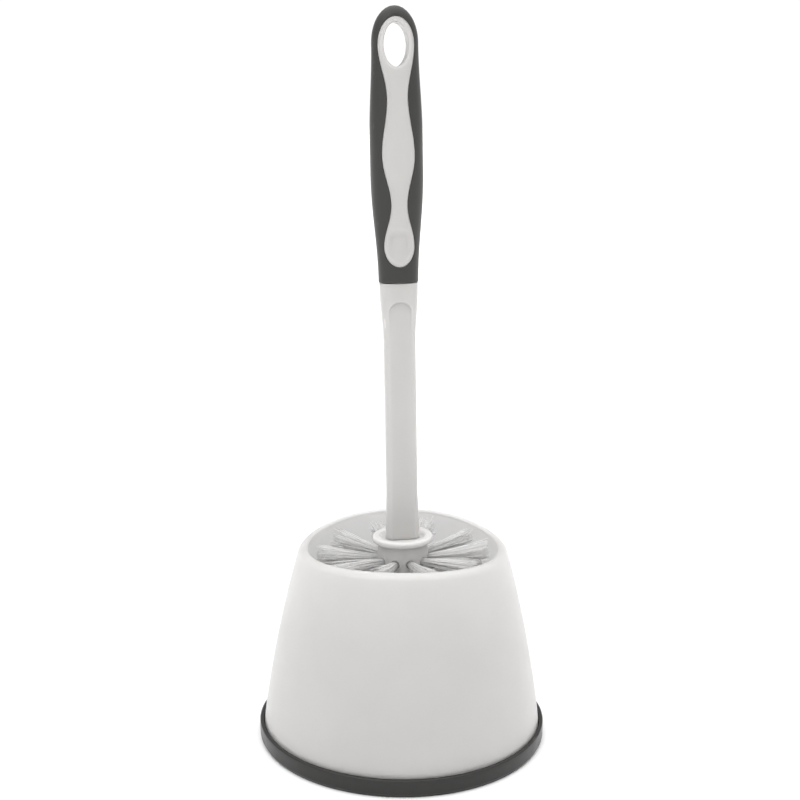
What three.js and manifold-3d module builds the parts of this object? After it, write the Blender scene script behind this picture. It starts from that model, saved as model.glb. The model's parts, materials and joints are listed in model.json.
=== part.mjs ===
// Toilet brush in its free-standing holder.
// Millimetres, +Z up. The origin is the centre of the underside of the base.
// The front of the holder faces -Y.

import * as THREE from 'three';
import { mergeVertices } from 'three/addons/utils/BufferGeometryUtils.js';
import Module from 'manifold-3d';

// ---------------------------------------------------------------- driving dimensions

// Clearances
const fitGap = 0.3; // between pieces that touch
const slideGap = 0.4; // between the shell and the base that it lifts off
const cutPast = 2; // how far a cutter runs past the face that it opens

// Base tray
const baseRadius = 72;
const baseHeight = 8.8;
const floorThickness = 2.6;
const baseWall = 2;
const baseChamfer = 1.1; // how far the foot of the ring draws in
const baseChamferHeight = 1.8;
const spigotHeight = 6.5; // upstand that holds the shell from inside
const spigotWall = 1.6;
const wellRadius = 24; // drip well under the brush tip
const wellHeight = 5.5;
const wellWall = 1.6;

// Holder shell
const shellWall = 2.2;
const rimHeight = 100; // mean height of the rim above the ground
const rimWave = 1.9; // how far the front and back of the rim rise, and its sides dip
const rimLean = 1.3; // how far the back of the rim rises besides, and the front sinks
const rimRadius = 50.9; // wall radius at the mean height of the rim
const straightShare = 0.6; // share of the taper that is a straight slope, the rest bows in
const lipBend = 4; // outer radius of the lip that turns inward

// Brush, measured along its own axis from the tip of its bristles
const crownLength = 18; // bristle tips to the end of the core
const flangeStand = 0.9; // mean rim to the underside of the flange
const coreTopRadius = 12.6;
const coreEndRadius = 11.2;
const flangeLip = 2.4; // how far the flange stands out from the core
const flangeThickness = 3;
const flangeRound = 0.9;
const dishMargin = 3.3; // sunk seat around the foot of the shaft
const dishDepth = 1.4;

// Bristles
const brushClearance = 3.4; // bristle tips to the narrowest place of the mouth
const rowCount = 7;
const tuftsPerRow = 10;
const topRowDrop = 9; // underside of the flange to the top row
const endRowLift = 8; // end of the core to the lowest row
const tuftRootRadius = 2;
const tuftTipRadius = 4.3;
const tuftDepth = 3.6; // how deep a tuft sits in the core
const tuftDome = 1.2;
const topRowTilt = 4; // degrees, up
const endRowTilt = -11;
const bandThickness = 0.8; // splayed roots that join the tufts of a row
const bandHeight = 2.2;
const crownTufts = 6;
const crownPitchRadius = 5.6;
const crownTilt = 30; // degrees, off the brush axis

// Shaft
const shaftLength = 125.8; // flange to grip
const shaftHalfWidth = 7.65;
const shaftHalfDepth = 5.3;
const footSpread = 0.65; // how far the foot is wider than the shaft on each side
const footFlare = 26; // height over which the foot widens
const neckFlare = 30; // height over which the shaft widens to the grip
const panelDepth = 0.6;
const panelBorder = 2.1;
const panelTopGap = 9; // flat arch of the panel to the grip
const plugLength = 15;
const plugShoulder = 1.2; // how far the plug is set in from the shaft all round

// Grip
const gripLength = 126.9;
const gripEndHalfWidth = 9.5;
const gripEndHalfDepth = 6.9;
const gripHalfWidth = 12.4;
const gripHalfDepth = 8.8;
const gripHeadHalfWidth = 10.9;
const gripHeadHalfDepth = 6.3;
const gripHeadLength = 16.6; // length of the rounded head
const gripWall = 2.3;
const gripStep = 0.4; // how far the grip stands out around the shaft
const gripWidest = [0.46, 0.62]; // where the grip is widest, from its end to the start of its head
const gripDeepest = 0.5;
const gripSquareness = 2.3;
const shaftSquareness = 3.2;
const plugSquareness = 4;

// Inlay and hanging hole
const holeWidth = 11.4;
const holeHeight = 19.7;
const holeDrop = 17.5; // top of the grip to the centre of the hole
const collarWall = 2.8;
const collarTop = 2.6; // wall of the collar above the hole
const inlayEndGap = 7.7; // lower edge of the grip to the end of the inlay
const inlayEndLength = 9.6;
const inlayLowBulge = 7.25;
const inlayWaist = 3.85;
const inlayHighBulge = 7.7;
const inlayNeck = 4.9;
const inlaySink = 0.25; // inlay face below the grip face
const waistPlace = 0.21; // places along the inlay, from its lower bulge to the hole
const highBulgePlace = 0.46;
const neckPlace = 0.74;

// How the brush stands in the holder
const brushLean = 1.3; // degrees, to the left
const handleTurn = 8; // degrees, anticlockwise from above, between the head and the handle
const brushShift = 1.9; // bristle tips to the right of the centre

// ---------------------------------------------------------------- derived places

const shellFootRadius = baseRadius - baseWall - slideGap;
const brushStand = floorThickness + fitGap;
const coreEnd = crownLength;
const coreLength = rimHeight + flangeStand - brushStand - crownLength;
const flangeUnder = coreEnd + coreLength;
const flangeTop = flangeUnder + flangeThickness;
const dishFloor = flangeTop - dishDepth;
const gripEnd = flangeTop + shaftLength;
const gripTop = gripEnd + gripLength;
const holeCentre = gripTop - holeDrop;
const inlayEnd = gripEnd + inlayEndGap;
const footHalfWidth = shaftHalfWidth + footSpread;
const plugHalfWidth = shaftHalfWidth - plugShoulder;
const plugHalfDepth = shaftHalfDepth - plugShoulder;
const dishRadius = footHalfWidth + dishMargin;
const flangeRadius = coreTopRadius + flangeLip;
const sides = 36; // around the base and the shell
const flangeSides = 24;
const coreSides = tuftsPerRow; // one flat or one edge under each tuft
const loftSides = 20; // around the shaft and the grip
const tuftSides = 5;

// ---------------------------------------------------------------- solids

const wasm = await Module();
wasm.setup();

function toSolid(geometry) {
  const bare = geometry.index ? geometry.toNonIndexed() : geometry.clone();
  bare.deleteAttribute('normal');
  bare.deleteAttribute('uv');
  const merged = mergeVertices(bare, 1e-4);
  return new wasm.Manifold(new wasm.Mesh({
    numProp: 3,
    vertProperties: new Float32Array(merged.attributes.position.array),
    triVerts: new Uint32Array(merged.index.array),
  }));
}

function toGeometry(solid) {
  const mesh = solid.getMesh();
  const geometry = new THREE.BufferGeometry();
  geometry.setAttribute('position', new THREE.BufferAttribute(new Float32Array(mesh.vertProperties), 3));
  geometry.setIndex(new THREE.BufferAttribute(new Uint32Array(mesh.triVerts), 1));
  geometry.computeVertexNormals();
  return geometry;
}

function join(solids) {
  return solids.reduce((whole, piece) => whole.add(piece));
}

function cut(solid, cutters) {
  return solid.subtract(join(cutters));
}

// A profile of [radius, height] pairs turned about Z.
function turned(profile, segments) {
  const points = profile.map(([radius, height]) => new THREE.Vector2(radius, height));
  const geometry = new THREE.LatheGeometry(points, segments);
  geometry.rotateX(Math.PI / 2);
  return geometry;
}

// Rings of points joined in order. The last ring joins the first, or both ends are capped.
function skin(rings, closed) {
  const count = rings[0].length;
  const positions = rings.flat().flatMap((point) => [point.x, point.y, point.z]);
  const index = [];
  const steps = closed ? rings.length : rings.length - 1;
  for (let ring = 0; ring < steps; ring += 1) {
    const low = ring * count;
    const high = ((ring + 1) % rings.length) * count;
    for (let side = 0; side < count; side += 1) {
      const next = (side + 1) % count;
      index.push(low + side, low + next, high + next);
      index.push(low + side, high + next, high + side);
    }
  }
  if (!closed) {
    const last = (rings.length - 1) * count;
    for (let side = 1; side < count - 1; side += 1) {
      index.push(0, side + 1, side);
      index.push(last, last + side, last + side + 1);
    }
  }
  const geometry = new THREE.BufferGeometry();
  geometry.setAttribute('position', new THREE.Float32BufferAttribute(positions, 3));
  geometry.setIndex(index);
  geometry.computeVertexNormals();
  return geometry;
}

// A ring of a rounded-rectangle-like section: squareness 2 is an ellipse.
function sectionRing(halfWidth, halfDepth, height, squareness = 2) {
  const power = 2 / squareness;
  const ring = [];
  for (let side = 0; side < loftSides; side += 1) {
    const angle = (side / loftSides) * 2 * Math.PI;
    const across = Math.cos(angle);
    const deep = Math.sin(angle);
    ring.push(new THREE.Vector3(
      halfWidth * Math.sign(across) * Math.abs(across) ** power,
      halfDepth * Math.sign(deep) * Math.abs(deep) ** power,
      height,
    ));
  }
  return ring;
}

// A straight bar of one section.
function prism(halfWidth, halfDepth, low, high, squareness) {
  return toSolid(skin([
    sectionRing(halfWidth, halfDepth, low, squareness),
    sectionRing(halfWidth, halfDepth, high, squareness),
  ], false));
}

// Smooth step of a value through [place, value] stations.
function eased(stations, place) {
  if (place <= stations[0][0]) return stations[0][1];
  for (let i = 1; i < stations.length; i += 1) {
    const [from, low] = stations[i - 1];
    const [to, high] = stations[i];
    if (place <= to) {
      const share = (1 - Math.cos(Math.PI * (place - from) / (to - from))) / 2;
      return low + (high - low) * share;
    }
  }
  return stations[stations.length - 1][1];
}

// ---------------------------------------------------------------- base tray

function baseTray() {
  const grooveRadius = baseRadius - baseWall;
  const spigotRadius = shellFootRadius - shellWall - slideGap;
  const spigotInner = spigotRadius - spigotWall;
  const spigotTop = floorThickness + spigotHeight;
  const wellTop = floorThickness + wellHeight;
  return turned([
    [0, 0],
    [baseRadius - baseChamfer, 0],
    [baseRadius, baseChamferHeight],
    [baseRadius, baseHeight - baseChamfer / 2],
    [baseRadius - baseChamfer / 2, baseHeight],
    [grooveRadius, baseHeight],
    [grooveRadius, floorThickness],
    [spigotRadius, floorThickness],
    [spigotRadius, spigotTop],
    [spigotInner, spigotTop],
    [spigotInner, floorThickness],
    [wellRadius + wellWall, floorThickness],
    [wellRadius + wellWall, wellTop],
    [wellRadius, wellTop],
    [wellRadius, floorThickness],
    [0, floorThickness],
  ], sides);
}

// ---------------------------------------------------------------- holder shell

function shellRadius(height) {
  const share = Math.max(0, (height - baseHeight) / (rimHeight - baseHeight));
  const taper = straightShare * share + (1 - straightShare) * share ** 2;
  return shellFootRadius - (shellFootRadius - rimRadius) * taper;
}

function shellRing(place) {
  const ring = [];
  for (let side = 0; side < sides; side += 1) {
    const angle = (side / sides) * 2 * Math.PI;
    const [radius, height] = place(angle);
    ring.push(around(radius, angle, height));
  }
  return ring;
}

// The narrowest place of the mouth, at the back, where the rim is highest.
function mouthRadius() {
  const bendStart = rimHeight + rimWave + rimLean - lipBend;
  return shellRadius(bendStart) - lipBend - shellWall / 2;
}

function holderShell() {
  const foot = floorThickness + fitGap;
  const wallSteps = 5;
  const bendSteps = 3;
  const rim = (angle) => rimHeight + rimLean * Math.sin(angle) - rimWave * Math.cos(2 * angle);
  const bendStart = (angle) => rim(angle) - lipBend;
  const wallHeight = (angle, step) => baseHeight + (bendStart(angle) - baseHeight) * (step / wallSteps);
  const bend = (angle, radius, turn) => {
    const centre = shellRadius(bendStart(angle)) - lipBend;
    return [centre + radius * Math.cos(turn), bendStart(angle) + radius * Math.sin(turn)];
  };
  const rings = [shellRing(() => [shellRadius(foot), foot])];
  for (let step = 0; step < wallSteps; step += 1) {
    rings.push(shellRing((angle) => {
      const height = wallHeight(angle, step);
      return [shellRadius(height), height];
    }));
  }
  for (let step = 0; step <= bendSteps; step += 1) {
    const turn = (step / bendSteps) * Math.PI / 2;
    rings.push(shellRing((angle) => bend(angle, lipBend, turn)));
  }
  rings.push(shellRing((angle) => {
    const [radius, height] = bend(angle, lipBend - shellWall / 2, Math.PI / 2);
    return [radius - shellWall / 2, height];
  }));
  for (let step = bendSteps; step >= 0; step -= 1) {
    const turn = (step / bendSteps) * Math.PI / 2;
    rings.push(shellRing((angle) => bend(angle, lipBend - shellWall, turn)));
  }
  for (let step = wallSteps - 1; step >= 0; step -= 1) {
    rings.push(shellRing((angle) => {
      const height = wallHeight(angle, step);
      return [shellRadius(height) - shellWall, height];
    }));
  }
  rings.push(shellRing(() => [shellRadius(foot) - shellWall, foot]));
  return skin(rings, true);
}

// ---------------------------------------------------------------- brush head

function coreRadius(height) {
  const share = (height - coreEnd) / coreLength;
  return coreEndRadius + (coreTopRadius - coreEndRadius) * share;
}

function rowHeight(row) {
  const top = flangeUnder - topRowDrop;
  const low = coreEnd + endRowLift;
  return top - (top - low) * (row / Math.max(1, rowCount - 1));
}

function rowTilt(row) {
  return THREE.MathUtils.degToRad(topRowTilt + (endRowTilt - topRowTilt) * (row / Math.max(1, rowCount - 1)));
}

function around(radius, angle, height) {
  return new THREE.Vector3(radius * Math.cos(angle), radius * Math.sin(angle), height);
}

// Where the tufts of a row start on the core, and the way that they point.
function rowPlaces(row) {
  const height = rowHeight(row);
  const tilt = rowTilt(row);
  const places = [];
  for (let tuft = 0; tuft < tuftsPerRow; tuft += 1) {
    const angle = ((tuft + (row % 2) / 2) / tuftsPerRow) * 2 * Math.PI;
    places.push({
      root: around(coreRadius(height), angle, height),
      way: around(Math.cos(tilt), angle, Math.sin(tilt)),
    });
  }
  return places;
}

function crownPlaces() {
  const tilt = THREE.MathUtils.degToRad(crownTilt);
  const places = [{ root: new THREE.Vector3(0, 0, coreEnd), way: new THREE.Vector3(0, 0, -1) }];
  for (let tuft = 0; tuft < crownTufts; tuft += 1) {
    const angle = (tuft / crownTufts) * 2 * Math.PI;
    places.push({
      root: around(crownPitchRadius, angle, coreEnd),
      way: around(Math.sin(tilt), angle, -Math.cos(tilt)),
    });
  }
  return places;
}

// A turned profile along +Z, moved to a root and pointed along its way.
function placed(profile, { root, way }) {
  const geometry = turned(profile, tuftSides);
  const turn = new THREE.Quaternion().setFromUnitVectors(new THREE.Vector3(0, 0, 1), way);
  geometry.applyQuaternion(turn);
  geometry.translate(root.x, root.y, root.z);
  return toSolid(geometry);
}

function tuftHole(place) {
  const radius = tuftRootRadius + fitGap;
  const depth = tuftDepth + fitGap;
  return placed([[0, -depth], [radius, -depth], [radius, cutPast], [0, cutPast]], place);
}

function tuft(place, length) {
  return placed([
    [0, -tuftDepth],
    [tuftRootRadius, -tuftDepth],
    [tuftRootRadius, bandThickness],
    [tuftTipRadius, length - tuftDome],
    [0, length],
  ], place);
}

// The socket in the core and the plug on the shaft that fits it.
function plugSolid(clearance, top) {
  const low = dishFloor - plugLength - clearance;
  return prism(plugHalfWidth + clearance, plugHalfDepth + clearance, low, top, plugSquareness);
}

function brushHead() {
  const core = toSolid(turned([
    [0, coreEnd],
    [coreEndRadius, coreEnd],
    [coreTopRadius, flangeUnder],
    [coreTopRadius, flangeUnder + flangeThickness / 2],
    [0, flangeUnder + flangeThickness / 2],
  ], coreSides));
  const flange = toSolid(turned([
    [0, flangeUnder],
    [flangeRadius - flangeRound, flangeUnder],
    [flangeRadius, flangeUnder + flangeRound],
    [flangeRadius, flangeTop - flangeRound],
    [flangeRadius - flangeRound, flangeTop],
    [dishRadius, flangeTop],
    [dishRadius - dishDepth, dishFloor],
    [0, dishFloor],
  ], flangeSides));
  const holes = crownPlaces().map(tuftHole);
  for (let row = 0; row < rowCount; row += 1) {
    holes.push(...rowPlaces(row).map(tuftHole));
  }
  const socket = plugSolid(fitGap, flangeTop + cutPast).rotate([0, 0, handleTurn]);
  return toGeometry(cut(core.add(flange), [...holes, socket]));
}

function bristleRow(row) {
  const height = rowHeight(row);
  const inner = coreRadius(height + bandHeight / 2) + fitGap;
  const band = toSolid(turned([
    [inner, height - bandHeight / 2],
    [inner + bandThickness, height - bandHeight / 2],
    [inner + bandThickness, height + bandHeight / 2],
    [inner, height + bandHeight / 2],
    [inner, height - bandHeight / 2],
  ], coreSides));
  const reach = mouthRadius() - brushClearance - coreRadius(height);
  const length = reach / Math.cos(rowTilt(row));
  const tufts = rowPlaces(row).map((place) => tuft(place, length));
  return toGeometry(join([band, ...tufts]));
}

function bristleCrown() {
  const band = toSolid(turned([
    [0, coreEnd - fitGap - bandThickness],
    [crownPitchRadius + tuftRootRadius, coreEnd - fitGap - bandThickness],
    [crownPitchRadius + tuftRootRadius, coreEnd - fitGap],
    [0, coreEnd - fitGap],
  ], flangeSides));
  const slant = Math.cos(THREE.MathUtils.degToRad(crownTilt));
  const reach = crownLength - tuftTipRadius / 2;
  const tufts = crownPlaces().map((place, i) => tuft(place, i === 0 ? crownLength : reach / slant));
  return toGeometry(join([band, ...tufts]));
}

// ---------------------------------------------------------------- handle

function inlayHalfWidth(height) {
  const endTop = inlayEnd + inlayEndLength;
  if (height < endTop) {
    const share = (endTop - height) / inlayEndLength;
    return inlayLowBulge * Math.sqrt(Math.max(0, 1 - share * share));
  }
  const collar = holeWidth / 2 + collarWall;
  if (height > holeCentre) {
    const share = (height - holeCentre) / (holeHeight / 2 + collarTop);
    return collar * Math.sqrt(Math.max(0, 1 - share * share));
  }
  const span = holeCentre - endTop;
  return eased([
    [endTop, inlayLowBulge],
    [endTop + span * waistPlace, inlayWaist],
    [endTop + span * highBulgePlace, inlayHighBulge],
    [endTop + span * neckPlace, inlayNeck],
    [holeCentre, collar],
  ], height);
}

// The inlay outline, grown by a clearance, run from front to back.
function inlaySolid(clearance) {
  const low = inlayEnd;
  const high = holeCentre + holeHeight / 2 + collarTop;
  const steps = 22;
  const right = [];
  for (let step = 0; step <= steps; step += 1) {
    const share = (1 - Math.cos(Math.PI * (step / steps))) / 2;
    const height = low + (high - low) * share;
    right.push([inlayHalfWidth(height), height]);
  }
  const middle = (low + high) / 2;
  const stretch = (high - low + 2 * clearance) / (high - low);
  const outline = [];
  right.slice(1, -1).forEach(([across, height]) => {
    outline.push(new THREE.Vector2(across + clearance, middle + (height - middle) * stretch));
  });
  right.slice(1, -1).reverse().forEach(([across, height]) => {
    outline.push(new THREE.Vector2(-across - clearance, middle + (height - middle) * stretch));
  });
  const reach = gripHalfDepth + cutPast;
  const geometry = new THREE.ExtrudeGeometry(new THREE.Shape(outline), {
    depth: 2 * reach,
    bevelEnabled: false,
  });
  geometry.rotateX(Math.PI / 2);
  geometry.translate(0, reach, 0);
  return toSolid(geometry);
}

// The oval hanging hole, run from front to back.
function holeSolid() {
  const outline = new THREE.Shape();
  outline.absellipse(0, holeCentre, holeWidth / 2, holeHeight / 2, 0, 2 * Math.PI);
  const reach = gripHalfDepth + cutPast;
  const geometry = new THREE.ExtrudeGeometry(outline, {
    depth: 2 * reach,
    bevelEnabled: false,
    curveSegments: 9,
  });
  geometry.rotateX(Math.PI / 2);
  geometry.translate(0, reach, 0);
  return toSolid(geometry);
}

// The outside of the grip, drawn in by an inset all round.
function gripBody(inset) {
  const headStart = gripTop - gripHeadLength;
  const wide = [
    [gripEnd, gripEndHalfWidth],
    [gripEnd + (headStart - gripEnd) * gripWidest[0], gripHalfWidth],
    [gripEnd + (headStart - gripEnd) * gripWidest[1], gripHalfWidth],
    [headStart, gripHeadHalfWidth],
  ];
  const deep = [
    [gripEnd, gripEndHalfDepth],
    [gripEnd + (headStart - gripEnd) * gripDeepest, gripHalfDepth],
    [headStart, gripHeadHalfDepth],
  ];
  const rings = [];
  const bodySteps = 9;
  for (let step = 0; step <= bodySteps; step += 1) {
    const height = gripEnd + (headStart - gripEnd) * (step / bodySteps);
    rings.push(sectionRing(eased(wide, height) - inset, eased(deep, height) - inset, height, gripSquareness));
  }
  const headSteps = 4;
  const lastAngle = 1.45; // radians, just short of the pole, so that the head ends in a small flat
  const crownPower = 0.6; // the head is blunter from the side than an ellipse
  for (let step = 1; step <= headSteps; step += 1) {
    const angle = (step / headSteps) * lastAngle;
    rings.push(sectionRing(
      (gripHeadHalfWidth - inset) * Math.cos(angle),
      (gripHeadHalfDepth - inset) * Math.cos(angle) ** crownPower,
      headStart + (gripHeadLength - inset) * Math.sin(angle),
      gripSquareness,
    ));
  }
  return toSolid(skin(rings, false));
}

function shaftSolid() {
  const foot = dishFloor + fitGap;
  const top = gripEnd - fitGap;
  const neckHalfWidth = gripEndHalfWidth - gripStep;
  const neckHalfDepth = gripEndHalfDepth - gripStep;
  const wide = [
    [foot, footHalfWidth],
    [foot + footFlare, shaftHalfWidth],
    [top - neckFlare, shaftHalfWidth],
    [top, neckHalfWidth],
  ];
  const deep = [
    [foot, shaftHalfDepth],
    [top - neckFlare, shaftHalfDepth],
    [top, neckHalfDepth],
  ];
  const heights = [foot, foot + footFlare / 2, foot + footFlare];
  for (let step = 0; step <= 4; step += 1) {
    heights.push(top - neckFlare + neckFlare * (step / 4));
  }
  const section = (height) => sectionRing(eased(wide, height), eased(deep, height), height, shaftSquareness);
  const rings = heights.map(section);
  return toSolid(skin(rings, false));
}

// The flat panel sunk into the front and the back of the shaft, with an arched top.
function panelSolid(front) {
  const half = shaftHalfWidth - panelBorder;
  const low = flangeTop - dishDepth - cutPast;
  const spring = gripEnd - panelTopGap - half;
  const outline = new THREE.Shape();
  outline.moveTo(-half, low);
  outline.lineTo(half, low);
  outline.lineTo(half, spring);
  outline.absarc(0, spring, half, 0, Math.PI, false);
  outline.closePath();
  const reach = gripEndHalfDepth + cutPast - (shaftHalfDepth - panelDepth);
  const geometry = new THREE.ExtrudeGeometry(outline, {
    depth: reach,
    bevelEnabled: false,
    curveSegments: 6,
  });
  geometry.rotateX(Math.PI / 2);
  const face = shaftHalfDepth - panelDepth;
  geometry.translate(0, front ? -face : face + reach, 0);
  return toSolid(geometry);
}

function handleCore() {
  const inlay = inlaySolid(0).intersect(gripBody(inlaySink));
  const shank = gripBody(gripWall + fitGap);
  const linkInset = gripWall + fitGap;
  const link = prism(
    gripEndHalfWidth - linkInset,
    gripEndHalfDepth - linkInset,
    gripEnd - 2 * cutPast,
    gripEnd + cutPast,
    gripSquareness,
  );
  const plug = plugSolid(0, dishFloor + cutPast);
  const shaft = cut(shaftSolid(), [panelSolid(true), panelSolid(false)]);
  const body = join([shaft, plug, link, shank, inlay]);
  return toGeometry(cut(body, [holeSolid()]));
}

function handleGrip() {
  const room = gripBody(gripWall);
  const mouth = prism(
    gripEndHalfWidth - gripWall,
    gripEndHalfDepth - gripWall,
    gripEnd - cutPast,
    gripEnd + cutPast,
    gripSquareness,
  );
  return toGeometry(cut(gripBody(0), [room, mouth, inlaySolid(fitGap)]));
}

// ---------------------------------------------------------------- assembly

function finish(color, roughness) {
  return new THREE.MeshStandardMaterial({ color, roughness, metalness: 0 });
}

function piece(name, geometry, material) {
  const mesh = new THREE.Mesh(geometry, material);
  mesh.name = name;
  return mesh;
}

const group = new THREE.Group();
group.add(piece('base_tray', baseTray(), finish(0x4a4a47, 0.55)));
group.add(piece('holder_shell', holderShell(), finish(0xe9e7e5, 0.35)));

const brush = new THREE.Group();
brush.add(piece('brush_head', brushHead(), finish(0xe6e4e2, 0.4)));
for (let row = 0; row < rowCount; row += 1) {
  brush.add(piece(`bristle_row_${row + 1}`, bristleRow(row), finish(0xf2f1ef, 0.6)));
}
brush.add(piece('bristle_crown', bristleCrown(), finish(0xf2f1ef, 0.6)));

const handle = new THREE.Group();
handle.add(piece('handle_core', handleCore(), finish(0xe4e2e0, 0.4)));
handle.add(piece('handle_grip', handleGrip(), finish(0x454642, 0.7)));
handle.rotation.z = THREE.MathUtils.degToRad(handleTurn);
brush.add(handle);

// The brush leans as one, standing on the floor of the tray.
brush.rotation.y = THREE.MathUtils.degToRad(-brushLean);
brush.position.set(brushShift, 0, brushStand);
group.add(brush);

export default group;
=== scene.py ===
"""Toilet brush in its holder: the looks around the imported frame.

Lengths are in millimetres and are turned into metres when a mesh is made. Those of the floor, room, lights
and camera are in metres.
"""

import json
import math

import bmesh
import bpy
import numpy as np
from mathutils import Matrix, Vector


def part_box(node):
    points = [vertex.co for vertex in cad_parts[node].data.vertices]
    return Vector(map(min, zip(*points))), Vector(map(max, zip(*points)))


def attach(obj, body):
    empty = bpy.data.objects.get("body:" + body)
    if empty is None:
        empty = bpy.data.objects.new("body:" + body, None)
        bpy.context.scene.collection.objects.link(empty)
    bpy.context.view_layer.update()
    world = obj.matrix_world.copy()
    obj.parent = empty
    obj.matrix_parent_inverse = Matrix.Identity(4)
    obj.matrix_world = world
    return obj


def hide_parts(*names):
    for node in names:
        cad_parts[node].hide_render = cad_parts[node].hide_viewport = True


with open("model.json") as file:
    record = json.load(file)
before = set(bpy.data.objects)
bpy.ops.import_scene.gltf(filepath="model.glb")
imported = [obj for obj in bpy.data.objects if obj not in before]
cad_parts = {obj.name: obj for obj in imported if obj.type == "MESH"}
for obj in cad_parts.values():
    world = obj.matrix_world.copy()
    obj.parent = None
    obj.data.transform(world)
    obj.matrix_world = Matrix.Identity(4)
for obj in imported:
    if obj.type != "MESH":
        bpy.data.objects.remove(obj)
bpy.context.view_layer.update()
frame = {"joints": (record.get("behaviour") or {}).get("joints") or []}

MM = 0.001

# ------------------------------------------------------------------ sizes, in millimetres

# Base tray: ring outside, groove for the shell, upstand (spigot) inside it, drip well in the middle
BASE_RADIUS = 72.0
BASE_HEIGHT = 8.8
FLOOR = 2.6
BASE_WALL = 2.0
BASE_DRAW = 1.1
BASE_DRAW_HEIGHT = 1.8
SLIDE_GAP = 0.4
FIT_GAP = 0.3
SPIGOT_HEIGHT = 6.5
SPIGOT_WALL = 1.6
WELL_RADIUS = 24.0
WELL_WALL = 1.6
WELL_HEIGHT = 5.5
BASE_SEGMENTS = 256
BASE_GRID = 3.0

# Holder shell
SHELL_FOOT = BASE_RADIUS - BASE_WALL - SLIDE_GAP
SHELL_WALL = 2.2
RIM_HEIGHT = 100.0
RIM_WAVE = 1.9
RIM_LEAN = 1.3
RIM_RADIUS = 50.9
STRAIGHT_SHARE = 0.6
LIP_BEND = 4.0
FOOT_ROUND = 0.3
SHELL_SEGMENTS = 288
WALL_STEPS = 56
LIP_STEPS = 12
LIP_INNER_STEPS = 8

# Brush, along its own axis from the bristle tips
CORE_END = 18.0
FLANGE_UNDER = 98.0
FLANGE_TOP = 101.0
FLANGE_RADIUS = 15.0
CORE_TOP_RADIUS = 12.6
CORE_END_RADIUS = 11.2
DISH_RADIUS = 11.6
DISH_DEPTH = 1.4
HEAD_SEGMENTS = 144
HEAD_GRID = 2.6
ROWS = 7
TUFTS = 10
TUFT_RADIUS = 1.9
TUFT_TIP_RADIUS = 4.6
TUFT_DEPTH = 3.4
TOP_ROW = 89.0
LOW_ROW = 26.0
TOP_TILT = 4.0
LOW_TILT = -11.0
BRUSH_RADIUS = 43.0
CROWN_TUFTS = 6
CROWN_RADIUS = 5.6
CROWN_TILT = 30.0
CROWN_SHORT = 2.8
CENTRE_SHORT = 0.8
HOLE_MARGIN = 0.25
HOLE_SIDES = 16

# Filaments: the three top rows can be seen in the mouth, so they have more of them
SEEN_ROWS = 3
SEEN_FILAMENTS = 92
FILAMENTS = 60
CROWN_FILAMENTS = 44
FILAMENT_RADIUS = 0.14
FILAMENT_SPREAD = 0.02
FILAMENT_INSET = 0.2
TIP_SHARE = 0.62
CRIMP_LENGTH = 1.3
ROW_SEED = 40
CROWN_SEED = 60
GOLDEN_TURN = 2.39996

# Handle
HANDLE_TURN = 8.0
GRIP_END = 226.8
GRIP_TOP = 353.7
GRIP_HEAD = 16.6
GRIP_WALL = 2.3
GRIP_SQUARE = 2.3
GRIP_LOW_WIDTH = 9.5
GRIP_WIDTH = 12.4
GRIP_HEAD_WIDTH = 10.9
GRIP_LOW_DEPTH = 6.9
GRIP_DEPTH = 8.8
GRIP_HEAD_DEPTH = 6.3
GRIP_END_ROUND = 0.6
GRIP_COLUMNS = 72
GRIP_ROW = 0.75
SHAFT_SQUARE = 3.2
SHAFT_WIDTH = 7.65
SHAFT_DEPTH = 5.3
FOOT_WIDTH = 8.3
FOOT_FLARE = 26.0
NECK_FLARE = 30.0
NECK_WIDTH = 9.1
NECK_DEPTH = 6.5
PANEL_HALF = 5.55
PANEL_DEPTH = 0.6
PANEL_GAP = 9.0
PLUG_LENGTH = 15.0
PLUG_WIDTH = 6.45
PLUG_DEPTH = 4.1
PLUG_SQUARE = 4.0
SHAFT_GAP = 0.15
SHAFT_COLUMNS = 176
SHAFT_ROW = 0.55
PANEL_EDGE = 0.35
LINK_INSET = 2.4
LINK_LENGTH = 7.0

# Inlay and hanging hole
HOLE_HALF_WIDTH = 5.7
HOLE_HALF_HEIGHT = 9.85
HOLE_CENTRE = GRIP_TOP - 17.5
COLLAR_HALF = 8.5
COLLAR_TOP = HOLE_CENTRE + HOLE_HALF_HEIGHT + 2.6
INLAY_END = GRIP_END + 7.7
INLAY_ROUND = 9.6
INLAY_LOW_WIDTH = 7.25
INLAY_WAIST = 3.85
INLAY_BULGE = 7.7
INLAY_NECK = 4.9
INLAY_COLUMNS = 34
INLAY_SINK = 0.12
SEAM_ROUND = 0.55
SEAM_GAP = 0.06
HOLE_ROUND = 1.5
THUMB_DEPTH = 1.6
THUMB_EDGE = 4.2
THUMB_TOP = 18.5
THUMB_TOP_RUN = 4.5
THUMB_LOW_RUN = 9.0

# Floor, room and camera: metres, degrees, and light levels where 1 is a white background
FLOOR_HALF = 60.0
FLOOR_COLOUR = (0.93, 0.93, 0.93)
FRONT_LEVEL = 0.78
BACK_LEVEL = 0.34
OVERHEAD_LEVEL = 2.3
HORIZON_LEVEL = 1.06
CAMERA_PLACE = (0, -0.620, 0.3054)
CAMERA_DOWN = 12.13
CAMERA_ROLL = 0.45
CAMERA_SHIFT = -0.0051
SENSOR_WIDTH = 36.0
FOCAL_WIDTHS = 1.63


# ------------------------------------------------------------------ the brush's own frame

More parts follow.
